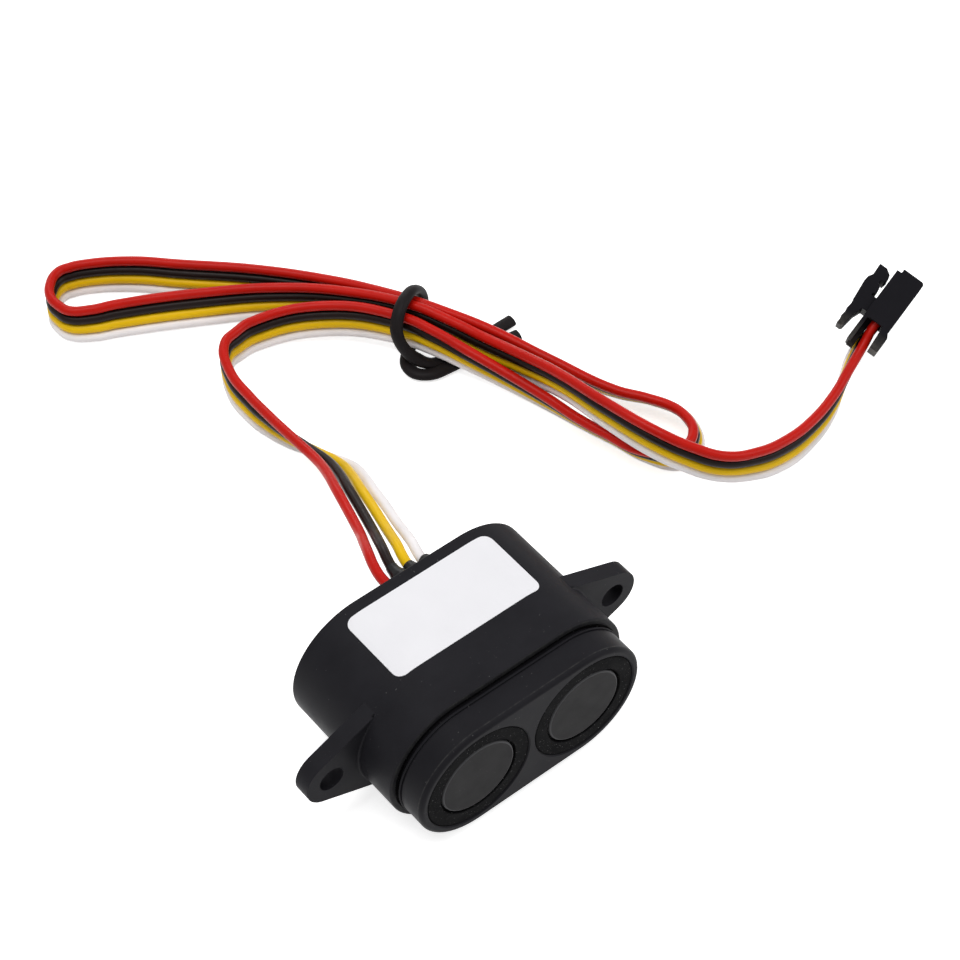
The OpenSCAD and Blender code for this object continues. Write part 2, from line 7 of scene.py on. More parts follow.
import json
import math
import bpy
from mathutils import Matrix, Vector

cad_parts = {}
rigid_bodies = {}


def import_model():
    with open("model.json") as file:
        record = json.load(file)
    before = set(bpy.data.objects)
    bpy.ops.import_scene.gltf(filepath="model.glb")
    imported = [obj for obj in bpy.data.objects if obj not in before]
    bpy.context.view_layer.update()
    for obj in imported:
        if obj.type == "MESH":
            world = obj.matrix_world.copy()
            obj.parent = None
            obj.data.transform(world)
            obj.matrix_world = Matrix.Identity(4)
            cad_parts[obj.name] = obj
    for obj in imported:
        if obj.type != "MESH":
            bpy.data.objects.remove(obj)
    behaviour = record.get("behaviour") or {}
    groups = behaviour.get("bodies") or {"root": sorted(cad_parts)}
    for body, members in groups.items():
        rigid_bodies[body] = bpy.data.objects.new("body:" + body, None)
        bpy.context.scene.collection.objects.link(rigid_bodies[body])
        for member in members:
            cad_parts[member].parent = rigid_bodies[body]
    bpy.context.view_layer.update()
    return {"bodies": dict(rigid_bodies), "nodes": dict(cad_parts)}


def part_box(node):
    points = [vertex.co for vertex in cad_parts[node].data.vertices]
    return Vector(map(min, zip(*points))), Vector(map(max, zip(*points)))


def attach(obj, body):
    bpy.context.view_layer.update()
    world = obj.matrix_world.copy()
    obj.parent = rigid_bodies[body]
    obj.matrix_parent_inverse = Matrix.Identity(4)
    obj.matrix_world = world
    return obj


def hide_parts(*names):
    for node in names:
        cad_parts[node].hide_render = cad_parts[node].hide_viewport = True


bl_info = {
    "name": "Ultrasonic distance sensor",
    "version": (1, 0, 0),
    "blender": (4, 5, 0),
    "location": "3D View > Sidebar > Sensor",
    "description": "Models a dual ultrasonic distance sensor with its lead and plug",
    "category": "Add Mesh",
}

import bmesh
import bpy
from mathutils import Euler, Vector

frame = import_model()


def depths(node):
    """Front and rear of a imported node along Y."""
    low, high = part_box(node)
    return low[1], high[1]


def turn(*degrees):
    return Euler([math.radians(angle) for angle in degrees])


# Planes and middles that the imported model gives
RIM_Y, REAR_Y = depths("housing")
FRONT_Y, BEZEL_REAR = depths("bezel")
RING_FRONT, RING_REAR = depths("receiver_ring")
CAN_FRONT, CAN_REAR = depths("receiver_can")
SEALANT_FRONT = depths("rear_sealant")[0]
BOARD_FRONT = depths("circuit_board")[0]
HOUSING_LOW, HOUSING_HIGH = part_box("housing")
MIDDLE = (HOUSING_HIGH[2] - HOUSING_LOW[2]) / 2

# Facets of a half turn of the housing's ends, of an ear's hole, and of a wire's hole or lump
STEPS = 44
HOLE_STEPS = 48
WIRE_STEPS = 32


def length(name, description, default):
    return bpy.props.FloatProperty(
        name=name, description=description, default=default, unit="LENGTH"
    )


def colour(name, description, default):
    return bpy.props.FloatVectorProperty(
        name=name, description=description, default=default, subtype="COLOR"
    )


class SensorSizes(bpy.types.PropertyGroup):
    """Sizes of the sensor's own pieces"""

    body_width: length("Body width", "Width of the housing without its ears", 0.0464)
    wall: length("Wall", "Wall round the bezel and the sealant", 0.0018)
    board_ledge: length("Board ledge", "Ledge that the circuit board rests on", 0.001)
    body_edge: length("Body edge", "Round of the housing's front and rear edges", 0.00035)
    rim_width: length("Rim width", "Width of the thin rim round the seam", 0.001)
    seam_depth: length("Seam depth", "Depth of the seam behind the rim", 0.0009)
    collar_inset: length("Collar inset", "How much smaller the collar is on each side", 0.0012)
    collar_round: length("Collar round", "Radius of the collar's front edge", 0.0008)
    seam_gap: length("Seam gap", "Gap between the housing's rim and the collar", 0.0006)
    transducer_pitch: length("Transducer pitch", "Distance between the two transducer axes", 0.0212)
    can_diameter: length("Can diameter", "Diameter of a transducer can", 0.014)
    can_wall: length("Can wall", "Side wall of a transducer can", 0.0008)
    can_face: length("Can face", "Thickness of a can's face", 0.0007)
    ring_diameter: length("Ring diameter", "Outer diameter of a rubber ring", 0.0199)
    face_gap: length("Face gap", "Width of the gap round a can's face", 0.0004)
    face_gap_depth: length("Face gap depth", "Depth of the gap round a can's face", 0.0008)
    ring_stop: length("Ring stop", "Lip that holds a can from behind", 0.0015)
    lead_hole: length("Lead hole", "Opening behind each rubber ring", 0.015)
    hole_pitch: length("Hole pitch", "Distance between the two mounting holes", 0.0568)
    hole_diameter: length("Hole diameter", "Diameter of the mounting holes", 0.0045)
    ear_radius: length("Ear radius", "Radius of an ear round its hole", 0.0047)
    ear_thickness: length("Ear thickness", "Thickness of the mounting ears", 0.003)
    ear_setback: length("Ear setback", "From the bezel's front to the ears", 0.014)
    ear_slope: bpy.props.FloatProperty(
        name="Ear slope", description="Slope of the ears' straight edges",
        default=math.radians(23.7), subtype="ANGLE",
    )
    ear_cove: length("Ear cove", "Radius of the cove between ear and housing", 0.0003)
    label_length: length("Label length", "Length of the label across the top", 0.0286)
    label_width: length("Label width", "Width of the label from front to rear", 0.014)
    label_round: length("Label round", "Radius of the label's corners", 0.0016)
    label_setback: length("Label setback", "From the bezel's front to the label", 0.015)
    wire_diameter: length("Wire diameter", "Outer diameter of each wire", 0.0018)
    exit_x: length("Exit side step", "From the sensor's middle to the wires' exit", 0.0015)
    exit_rise: length("Exit rise", "From the housing's middle up to the exit", 0.0081)
    exit_pitch: length("Exit pitch", "Step from wire to wire at the exit", 0.0025)
    sealant_recess: length("Sealant recess", "Depth of the sealant inside the rear edge", 0.001)
    lump_radius: length("Lump radius", "Radius of the largest lump of sealant", 0.0023)
    lump_reach: length("Lump reach", "How far the largest lump stands out", 0.0017)
    plug_length: length("Plug length", "From the wires' entry to the plug's mating face", 0.0162)
    plug_thickness: length("Plug thickness", "Thickness of the plug without its lever", 0.0053)
    plug_width: length("Plug width", "Width of the plug across its four ways", 0.0124)
    plug_pitch: length("Plug pitch", "Step from way to way of the plug", 0.0025)
    skirt_length: length("Skirt length", "From the wires' entry to the body of the plug", 0.0058)
    lever_width: length("Lever width", "Width of the plug's latch lever", 0.011)
    tie_width: length("Tie width", "Width of the twist tie", 0.0025)
    tie_thickness: length("Tie thickness", "Thickness of the twist tie", 0.0018)


class SensorColours(bpy.types.PropertyGroup):
    """Base colours of the finishes"""

    housing: colour("Housing", "Black moulded plastic of the housing", (0.0145, 0.0141, 0.0168))
    disc: colour("Disc", "Grey face of a transducer can", (0.0088, 0.0083, 0.0091))
    rubber: colour("Rubber", "Black rubber of the rings", (0.0048, 0.0048, 0.0052))
    label: colour("Label", "White film of the label", (0.775, 0.77, 0.797))
    red: colour("Red wire", "Insulation of the red wire", (0.49, 0.0075, 0.003))
    black: colour("Black wire", "Insulation of the black wire", (0.0098, 0.0045, 0.0038))
    yellow: colour("Yellow wire", "Insulation of the yellow wire", (0.775, 0.478, 0.004))
    white: colour("White wire", "Insulation of the white wire", (0.85, 0.815, 0.82))
    plug: colour("Plug", "Black nylon of the plug", (0.0098, 0.0094, 0.0118))


# Wires with their places in the ribbon, counted in wire pitches from its middle
WIRES = (("red", 1.5), ("black", 0.5), ("yellow", -0.5), ("white", -1.5))
# Sealant round each wire in that order: its share of the largest lump's radius and of its
# reach, and how far it has crept up the wire
LUMPS = ((0.6, 0.4, 0), (1, 1, 0.0048), (0.8, 0.8, 0.0034), (0.9, 0.9, 0.0028))

# Lead in millimetres and degrees: middle of the four-wire ribbon (x, y, z) and its roll about
# its own run. A roll of 0 stands the ribbon on edge with the red wire on top. Rows near the exit
# end with their wire pitch, and the rows where the lead lies all have the same one.
EXIT_ROWS = (
    (1.5, 4, 20.9, -90, 2.5), (1.5, 16.5, 20.9, -90, 2.5), (1.5, 18.3, 20.9, -90, 2.5),
    (2.9, 22.9, 20.3, -90, 2.45), (5.9, 30, 16.3, -91, 2.15), (9.7, 41.8, 12.7, -72, 2.2),
    (13.1, 52.1, 7.6, -55, 2.5), (11.8, 65.8, 4.3, -17, 2.3),
)
LAID_PITCH = 1.9
LAID_ROWS = (
    # first fold, behind the sensor
    (11, 73.9, 4, 2), (15.4, 87.5, 4, -5), (21.9, 88.6, 3.9, -10),
    # through the tie
    (42.6, 71.1, 6, -3), (47.2, 58.5, 5.7, 12), (53, 42.2, 3.6, 25),
    # second fold, beside the sensor
    (56.1, 29.5, 3.5, 33), (61.7, 18.4, 3.7, 15), (65, 18.3, 3.9, -2), (67.5, 19.9, 4, -16),
    (69.3, 26.7, 3.8, -36), (64.1, 36.8, 3.5, -36), (52.8, 60.2, 5.8, -2),
    # through the tie again
    (46.9, 73.2, 5.8, 1), (39.3, 87.1, 4.5, 8), (19.8, 108.6, 4, 18),
    # third fold, the far one
    (6.3, 119.8, 4, 10), (2, 121, 4, 9), (-2.8, 116.7, 4, -2), (-2.4, 111.7, 4, -10),
    (5.1, 107.2, 4, -20), (30.7, 92.3, 4, -12),
    # through the tie for the third time, then over the second fold
    (45.6, 71.8, 6.6, -1), (50.6, 58, 6.3, -2), (53.8, 40.7, 9.6, 8), (56.8, 19.2, 10.9, -1),
    (63.8, 10.2, 7.6, 4), (76.4, 7.2, 4.5, -6), (91.2, 10.4, 4, 2),
)

# Plug: where its wires enter, its turn and lean, and the way that its wires run in
PLUG_AT = Vector((0.10166, 0.01564, 0.00634))
PLUG_POSE = turn(21, -28, 8).to_matrix() @ turn(0, -6, 0).to_matrix()
PLUG_RUN = PLUG_POSE @ Vector((1, 0, 0))

# The whole lead in metres, with the last two rows along the plug's own run
LEAD_ROWS = [
    (x / 1000, y / 1000, z / 1000, roll, pitch / 1000)
    for x, y, z, roll, pitch in [*EXIT_ROWS, *((*row, LAID_PITCH) for row in LAID_ROWS)]
]
LEAD_ROWS += [(*(PLUG_AT + x * PLUG_RUN), 22.3, 0.0025) for x in (0.001, 0.0075)]

# Twist tie in millimetres: tail, one turn round the three strands, tail
TIE_ROWS = (
    (62.2, 64.1, 1), (55.2, 64, 1), (48.4, 64.1, 1), (44, 64.6, 1.3),
    (41.9, 66, 2.6), (40.3, 68, 5), (40.1, 69.7, 8.3), (42.1, 71.3, 10.9),
    (46.6, 73.7, 11), (49.6, 75.1, 7.8), (50.2, 75.2, 3.6), (49, 74.4, 1.3),
    (46.2, 72.4, 1), (42.4, 69.6, 1), (40.4, 67.2, 1), (40.4, 64.8, 1),
    (42.3, 62.9, 1), (45.8, 62.2, 1), (49.6, 61.9, 1), (55.6, 61.1, 1),
    (60.8, 60.5, 1),
)
TIE_MIDDLE = Vector((0.0452, 0.0716, 0.006))
# Height up to which the tie lies flat, and the rise over which it turns to face its middle
TIE_GROUND = 0.0015
TIE_TURN = 0.002

# The photograph's camera; and the lamps' aim, with their places, sizes and powers in watts
CAMERA_AT = (-0.157844, -0.198599, 0.357494)
CAMERA_TURN = turn(40.48, 0, -38.98)
LENS = 101.25
SENSOR_WIDTH = 36
AIM = Vector((0.02, 0.03, 0))
LAMPS = (
    ("key", (-0.14, 0.08, 0.79), 0.55, 3.4),
    ("fill", (0.55, -0.35, 0.60), 0.50, 1.75),
    ("back", (0.35, 0.75, 0.45), 0.40, 1.2),
)


# Lines of the lead


def smooth_rows(rows, steps):
    """Rows of numbers with smooth steps between them, paced by the distance from row to row."""
    gap = [(Vector(b[:3]) - Vector(a[:3])).length for a, b in zip(rows, rows[1:])]
    rate = [[(q - p) / d for p, q in zip(a, b)] for a, b, d in zip(rows, rows[1:], gap)]
    slope = [rate[0]]
    for i in range(1, len(rows) - 1):
        share = gap[i - 1] + gap[i]
        slope.append([(u * gap[i] + v * gap[i - 1]) / share for u, v in zip(rate[i - 1], rate[i])])
    slope.append(rate[-1])
    out = []
    for i, d in enumerate(gap):
        for k in range(steps):
            t = k / steps
            ease = 3 * t * t - 2 * t ** 3
            out.append([
                p * (1 - ease) + q * ease + d * (m * (t - 2 * t * t + t ** 3) + n * (t ** 3 - t * t))
                for p, q, m, n in zip(rows[i], rows[i + 1], slope[i], slope[i + 1])
            ])
    return out + [list(rows[-1])]


def run_at(line, i):
    """Direction of a line of points at one of them."""
    return (line[min(i + 1, len(line) - 1)] - line[max(i - 1, 0)]).normalized()


def sides_at(line, i):
    """Directions to the side of a line and over it."""
    run = run_at(line, i)
    across = run.cross(Vector((0, 0, 1))).normalized()
    return across, across.cross(run)


def wire_line(place):
    """Centre line of one wire in metres; place is its step from the middle of the ribbon."""
    rows = smooth_rows(LEAD_ROWS, 2)
    middle = [Vector(row[:3]) for row in rows]
    line = []
    for i, row in enumerate(rows):
        side, up = sides_at(middle, i)
        roll = math.radians(row[3])
        across = math.cos(roll) * up + math.sin(roll) * side
        line.append(middle[i] + place * row[4] * across)
    return line


def add_object(name, data):
    """An object of its own in the scene for a mesh, curve, camera or lamp."""
    thing = bpy.data.objects.new(name, data)
    bpy.context.scene.collection.objects.link(thing)
    return thing


def round_curve(name, line, diameter):
    """A round cord along a line of points."""
    curve = bpy.data.curves.new(name, "CURVE")
    curve.dimensions = "3D"
    curve.resolution_u = 8
    curve.bevel_depth = diameter / 2
    curve.bevel_resolution = 5
    curve.use_fill_caps = True
    spline = curve.splines.new("BEZIER")
    spline.bezier_points.add(len(line) - 1)
    for point, place in zip(spline.bezier_points, line):
        point.co = place
        point.handle_left_type = point.handle_right_type = "AUTO"
    return add_object(name, curve)


def oval_loop(shape, place, across, up, wide, high, sides):
    """A loop of verts round a place; wide and high are its radii."""
    loop = []
    for k in range(sides):
        turn = 2 * math.pi * k / sides
        loop.append(shape.verts.new(
            place + wide * math.cos(turn) * across + high * math.sin(turn) * up
        ))
    return loop


def skin(shape, loops):
    """Faces from each loop of verts to the next."""
    for a, b in zip(loops, loops[1:]):
        for k in range(len(a)):
            n = (k + 1) % len(a)
            shape.faces.new((a[k], a[n], b[n], b[k]))


def from_shape(name, shape):
    """Turns mesh code into an object with its faces outwards."""
    bmesh.ops.recalc_face_normals(shape, faces=shape.faces)
    mesh = bpy.data.meshes.new(name)
    shape.to_mesh(mesh)
    shape.free()
    return add_object(name, mesh)


def ring_sweep(name, line, radii, bore, sides=24):
    """A sleeve along a line: its outside has a radius at each point, and its bore is even."""
    shape = bmesh.new()
    outside, inside = [], []
    for i, (place, radius) in enumerate(zip(line, radii)):
        across, up = sides_at(line, i)
        outside.append(oval_loop(shape, place, across, up, radius, radius, sides))
        inside.append(oval_loop(shape, place, across, up, bore, bore, sides))
    skin(shape, outside + inside[::-1] + outside[:1])
    return from_shape(name, shape)


def oval_sweep(name, line, middle, width, thickness, sides=16):
    """An oval strap along a line: flat on the ground, and flat on what it goes round above that."""
    shape = bmesh.new()
    above = Vector((0, 0, 1))
    rings, flat = [], above
    for i, place in enumerate(line):
        run = run_at(line, i)
        lift = min(1, max(0, (place.z - TIE_GROUND) / TIE_TURN))
        out = (1 - lift) * above + lift * (place - middle).normalized()
        out = (out - out.dot(run) * run).normalized()
        if out.dot(flat) < 0:
            out = -out
        flat = (0.5 * flat + 0.5 * out).normalized()
        out = (flat - flat.dot(run) * run).normalized()
        rings.append(oval_loop(shape, place, run.cross(out), out, width / 2, thickness / 2, sides))
    skin(shape, rings)
    shape.faces.new(rings[0][::-1])
    shape.faces.new(rings[-1])
    return from_shape(name, shape)


# Modelling


def start(shape, name, **place):
    """Adds a primitive alone in the selection, and applies its place to its mesh."""
    bpy.ops.object.select_all(action="DESELECT")
    getattr(bpy.ops.mesh, f"primitive_{shape}_add")(**place)
    piece = bpy.context.object
    piece.name = piece.data.name = name
    bpy.ops.object.transform_apply()
    return piece


def select(piece, *others):
    """Selects pieces and nothing else; the first one is active."""
    bpy.ops.object.select_all(action="DESELECT")
    for one in (piece, *others):
        one.select_set(True)
    bpy.context.view_layer.objects.active = piece


def edit(piece):
    """Opens a piece alone in edit mode."""
    select(piece)
    bpy.ops.object.mode_set(mode="EDIT")


def done():
    bpy.ops.object.mode_set(mode="OBJECT")


def mark_all():
    bpy.ops.mesh.select_all(action="SELECT")


def extrude(step):
    bpy.ops.mesh.extrude_region_move(TRANSFORM_OT_translate={"value": step})


def choose(kind, test):
    """Selects the verts, edges or faces that pass a test, and nothing else."""
    bpy.context.tool_settings.mesh_select_mode = [kind == k for k in ("verts", "edges", "faces")]
    bpy.ops.mesh.select_all(action="DESELECT")
    shape = bmesh.from_edit_mesh(bpy.context.edit_object.data)
    for part in getattr(shape, kind):
        part.select_set(bool(test(part)))
    bmesh.update_edit_mesh(bpy.context.edit_object.data)


def close_up():
    """Merges doubles and turns all faces outwards."""
    mark_all()
    bpy.ops.mesh.remove_doubles(threshold=1e-6)
    bpy.ops.mesh.normals_make_consistent(inside=False)


def draw(name, points, closed=False):
    """Draws a line by extruding a single point, and stays in edit mode with it selected."""
    piece = start("plane", name, size=0.001, location=points[0])
    edit(piece)
    bpy.context.tool_settings.mesh_select_mode = (True, False, False)
    mark_all()
    bpy.ops.mesh.merge(type="CENTER")
    for a, b in zip(points, points[1:]):
        extrude(Vector(b) - Vector(a))
    if closed:
        ends = [Vector(p) for p in (points[0], points[-1])]
        choose("verts", lambda v: any((v.co - end).length < 1e-7 for end in ends))
        bpy.ops.mesh.edge_face_add()
    mark_all()
    return piece


def arc(centre, radius, first, last, steps=6):
    """Points of an arc in (radius, depth), from one angle to another, in degrees."""
    turns = [math.radians(first + (last - first) * k / steps) for k in range(steps + 1)]
    return [(centre[0] + radius * math.cos(t), centre[1] + radius * math.sin(t)) for t in turns]


def turned(name, section, x, z=MIDDLE, steps=2 * STEPS):
    """A piece revolved about an axis from front to rear; its section is (radius, depth) points."""
    piece = draw(name, [(x + r, y, z) for r, y in section], True)
    bpy.ops.mesh.spin(steps=steps, angle=2 * math.pi, center=(x, 0, z), axis=(0, 1, 0))
    close_up()
    done()
    return piece


def prism(name, points, rise):
    """A flat outline drawn in space and extruded along a step."""
    piece = draw(name, points, True)
    bpy.ops.mesh.edge_face_add()
    extrude(rise)
    close_up()
    done()
    return piece


def ease_edges(piece, width, segments=2, angle=35):
    """Rounds every edge sharper than the angle."""
    apply(piece, "BEVEL", width=width, segments=segments, limit_method="ANGLE",
          angle_limit=math.radians(angle), harden_normals=False)


def end_axis():
    """Distance of the axes of the housing's round ends from its middle."""
    return bpy.context.scene.sensor_sizes.body_width / 2 - MIDDLE


def racetrack(name, section, closed=True):
    """A racetrack piece: its section is spun round both ends and drawn out between them."""
    half = end_axis()
    piece = draw(name, [(half, y, MIDDLE - r) for r, y in section], closed)
    for centre, run in ((half, -2 * half), (-half, 2 * half)):
        bpy.ops.mesh.spin(steps=STEPS, angle=math.pi, center=(centre, 0, MIDDLE), axis=(0, 1, 0))
        extrude((run, 0, 0))
    mark_all()
    bpy.ops.mesh.remove_doubles(threshold=1e-6)
    if not closed:
        for y in (section[0][1], section[-1][1]):
            choose("edges", lambda e: e.is_boundary and all(abs(v.co.y - y) < 1e-7 for v in e.verts))
            bpy.ops.mesh.edge_face_add()
    close_up()
    done()
    return piece


def apply(piece, kind, **settings):
    """Adds a modifier with its settings and applies it."""
    select(piece)
    modifier = piece.modifiers.new(kind.title(), kind)
    for key, value in settings.items():
        setattr(modifier, key, value)
    bpy.ops.object.modifier_apply(modifier=modifier.name)


def combine(piece, others, how="DIFFERENCE"):
    """Cuts other solids from a piece, or adds or keeps them, and removes them."""
    for other in others:
        apply(piece, "BOOLEAN", operation=how, solver="EXACT", object=other)
        bpy.data.objects.remove(other)


def unite(piece, others):
    """Joins pieces that stand in each other's walls into one object."""
    select(piece, *others)
    bpy.ops.object.join()


def smooth(piece, angle=32):
    """Smooth shading, with edges sharper than the angle left crisp."""
    select(piece)
    bpy.ops.object.shade_smooth_by_angle(angle=math.radians(angle))
    apply(piece, "WEIGHTED_NORMAL", keep_sharp=True)


def paint(piece, material):
    """Gives a piece one material."""
    piece.data.materials.clear()
    piece.data.materials.append(material)


def finish(piece, material, node):
    """Gives a piece its finish, hides the node that it stands for, and lets it ride."""
    paint(piece, material)
    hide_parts(node)
    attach(piece, "root")


# Finishes


class Nodes:
    """A node tree that short calls build up."""

    def __init__(self, tree):
        self.tree = tree

    def add(self, kind, **settings):
        node = self.tree.nodes.new(f"ShaderNode{kind}")
        for key, value in settings.items():
            setattr(node, key, value)
        return node

    def fill(self, node, **values):
        """Sets inputs of a node by their names in plain words."""
        for key, value in values.items():
            name = key.replace("_", " ").title().replace("Ior", "IOR")
            node.inputs[name].default_value = value

    def link(self, source, target):
        self.tree.links.new(source, target)

    def figure(self, operation, *values):
        """A number worked out from other numbers or sockets."""
        node = self.add("Math", operation=operation)
        for socket, value in zip(node.inputs, values):
            if isinstance(value, (int, float)):
                socket.default_value = value
            else:
                self.link(value, socket)
        return node.outputs[0]

    def pick(self, share, plain, seen):
        """One shader, and another where the share is 1."""
        node = self.add("MixShader")
        for socket, source in zip(node.inputs, (share, plain.outputs[0], seen.outputs[0])):
            self.link(source, socket)
        return node.outputs[0]

    def seen(self):
        """1 for camera, glossy and transmission rays."""
        path = self.add("LightPath").outputs
        total = self.figure("MAXIMUM", path["Is Camera Ray"], path["Is Glossy Ray"])
        return self.figure("MAXIMUM", total, path["Is Transmission Ray"])


class Finish(Nodes):
    """A node material for one of the object's finishes."""

    def __init__(self, name, **shader):
        self.material = bpy.data.materials.new(name)
        self.material.use_nodes = True
        super().__init__(self.material.node_tree)
        self.shader = next(n for n in self.tree.nodes if n.type == "BSDF_PRINCIPLED")
        self.fill(self.shader, **shader)
        self.place = self.add("TexCoord").outputs["Object"]

    def noise(self, size, detail=3, roughness=0.55, stretch=None):
        """Noise with features of a size in metres."""
        node = self.add("TexNoise")
        self.fill(node, scale=1 / size, detail=detail, roughness=roughness)
        place = self.place
        if stretch:
            mapping = self.add("Mapping")
            self.fill(mapping, scale=stretch)
            self.link(place, mapping.inputs["Vector"])
            place = mapping.outputs["Vector"]
        self.link(place, node.inputs["Vector"])
        return node.outputs["Fac"]

    def ramp(self, source, stops):
        """Colours by value; stops are two (value, colour) pairs."""
        node = self.add("ValToRGB")
        for element, (value, colour) in zip(node.color_ramp.elements, stops):
            element.position = value
            element.color = (*colour, 1)
        self.link(source, node.inputs["Fac"])
        return node.outputs["Color"]

    def spread(self, source, low, high, inner=(0.3, 0.7)):
        """A number from low to high as the source goes through its inner range."""
        node = self.add("MapRange")
        self.fill(node, from_min=inner[0], from_max=inner[1], to_min=low, to_max=high)
        self.link(source, node.inputs["Value"])
        return node.outputs["Result"]

    def mottle(self, source, colour, share):
        """Base colour that varies about a colour by a share of it."""
        dark = tuple(c * (1 - share) for c in colour)
        light = tuple(min(1, c * (1 + share)) for c in colour)
        self.link(self.ramp(source, [(0.3, dark), (0.7, light)]), self.shader.inputs["Base Color"])

    def bump(self, heights):
        """Surface relief; heights are (source, height in metres) pairs."""
        normal = None
        for source, height in heights:
            node = self.add("Bump")
            self.fill(node, distance=height)
            self.link(source, node.inputs["Height"])
            if normal:
                self.link(normal, node.inputs["Normal"])
            normal = node.outputs["Normal"]
        self.link(normal, self.shader.inputs["Normal"])

    def axes(self):
        """X, Y and Z of the place on the piece."""
        node = self.add("SeparateXYZ")
        self.link(self.place, node.inputs[0])
        return node.outputs[:]

    def cover(self, mask, colour):
        """Lays another colour over the base colour where the mask is 1."""
        base = self.shader.inputs["Base Color"]
        node = self.add("Mix", data_type="RGBA")
        self.link(mask, node.inputs[0])
        self.link(base.links[0].from_socket, node.inputs[6])
        node.inputs[7].default_value = (*colour, 1)
        self.link(node.outputs[2], base)

    def dust(self, size, share, grey):
        """Scattered specks; a larger share lets more of them through."""
        specks = self.spread(self.noise(size, 2, 0.6), 0, 1, (0.76 - share, 0.8 - share))
        self.cover(specks, (grey, grey, grey))

    def painted_highlights(self, depth, width, grey):
        """A broken painted highlight line along an edge at a depth along Y."""
        near = self.figure("ABSOLUTE", self.figure("SUBTRACT", self.axes()[1], depth))
        line = self.spread(near, 1, 0, (width * 0.4, width))
        broken = self.spread(self.noise(0.0012, 4, 0.7), 0.15, 1, (0.42, 0.62))
        self.cover(self.figure("MULTIPLY", line, broken), (grey, grey, grey))

    def paler_end(self, middle, axis, first, last, grey):
        """Paler towards one end: none at the first distance along an axis, full at the last."""
        node = self.add("VectorMath", operation="DOT_PRODUCT")
        self.link(self.place, node.inputs[0])
        node.inputs[1].default_value = axis
        along = self.figure("SUBTRACT", node.outputs["Value"], middle.dot(axis))
        patchy = self.spread(self.noise(0.0009, 3), 0.35, 1)
        self.cover(self.figure("MULTIPLY", self.spread(along, 0, 1, (first, last)), patchy), grey)

    def gloss(self, source, low, high):
        self.link(self.spread(source, low, high), self.shader.inputs["Roughness"])


def moulded(name, colour, low=0.38, high=0.5, grain=0.00018, relief=0.000006, share=0.12,
            dust=0, painted_highlights=(), paler_end=None, **shader):
    """Moulded or cast material: fine grain, faint mottling, uneven gloss, dust, painted highlight
    lines along edges, and an optional paler end.
    """
    look = Finish(name, **shader)
    broad = look.noise(0.006, 4)
    fine = look.noise(grain, 2)
    look.mottle(broad, colour, share)
    if dust:
        look.dust(0.0006, dust, 0.07)
    for depth, width, grey in painted_highlights:
        look.painted_highlights(depth, width, grey)
    if paler_end:
        look.paler_end(*paler_end)
    look.gloss(broad, low, high)
    look.bump([(fine, relief), (broad, relief * 3)])
    return look.material


def rubber(name, colour):
    """Matt rubber with a bloom, specks of dust and short fine scuffs."""
    look = Finish(name, ior=1.1)
    broad = look.noise(0.003, 4)
    look.mottle(broad, colour, 0.18)
    look.dust(0.00028, 0.075, 0.16)
    scuffs = look.spread(look.noise(0.0005, 2, 0.5, stretch=(1, 1, 5)), 0, 1, (0.68, 0.74))
    look.cover(scuffs, (0.045, 0.045, 0.045))
    look.gloss(broad, 0.62, 0.8)
    look.bump([(look.noise(0.00022, 3), 0.000012)])
    return look.material


def insulation(name, colour):
    """Glossy extruded insulation with faint drag lines and dulled patches."""
    look = Finish(name, ior=1.22)
    broad = look.noise(0.009, 3)
    fine = look.noise(0.0006, 3)
    look.mottle(broad, colour, 0.07)
    look.gloss(fine, 0.26, 0.4)
    look.bump([(fine, 0.000006)])
    return look.material


def metal(name, colour, low, high, brush=None):
    """Plain metal with brushed or drawn marks."""
    look = Finish(name, metallic=1.0)
    broad = look.noise(0.002, 4, stretch=brush)
    look.mottle(broad, colour, 0.15)
    look.gloss(broad, low, high)
    look.bump([(look.noise(0.0002, 3, stretch=brush), 0.000004)])
    return look.material


# Operators


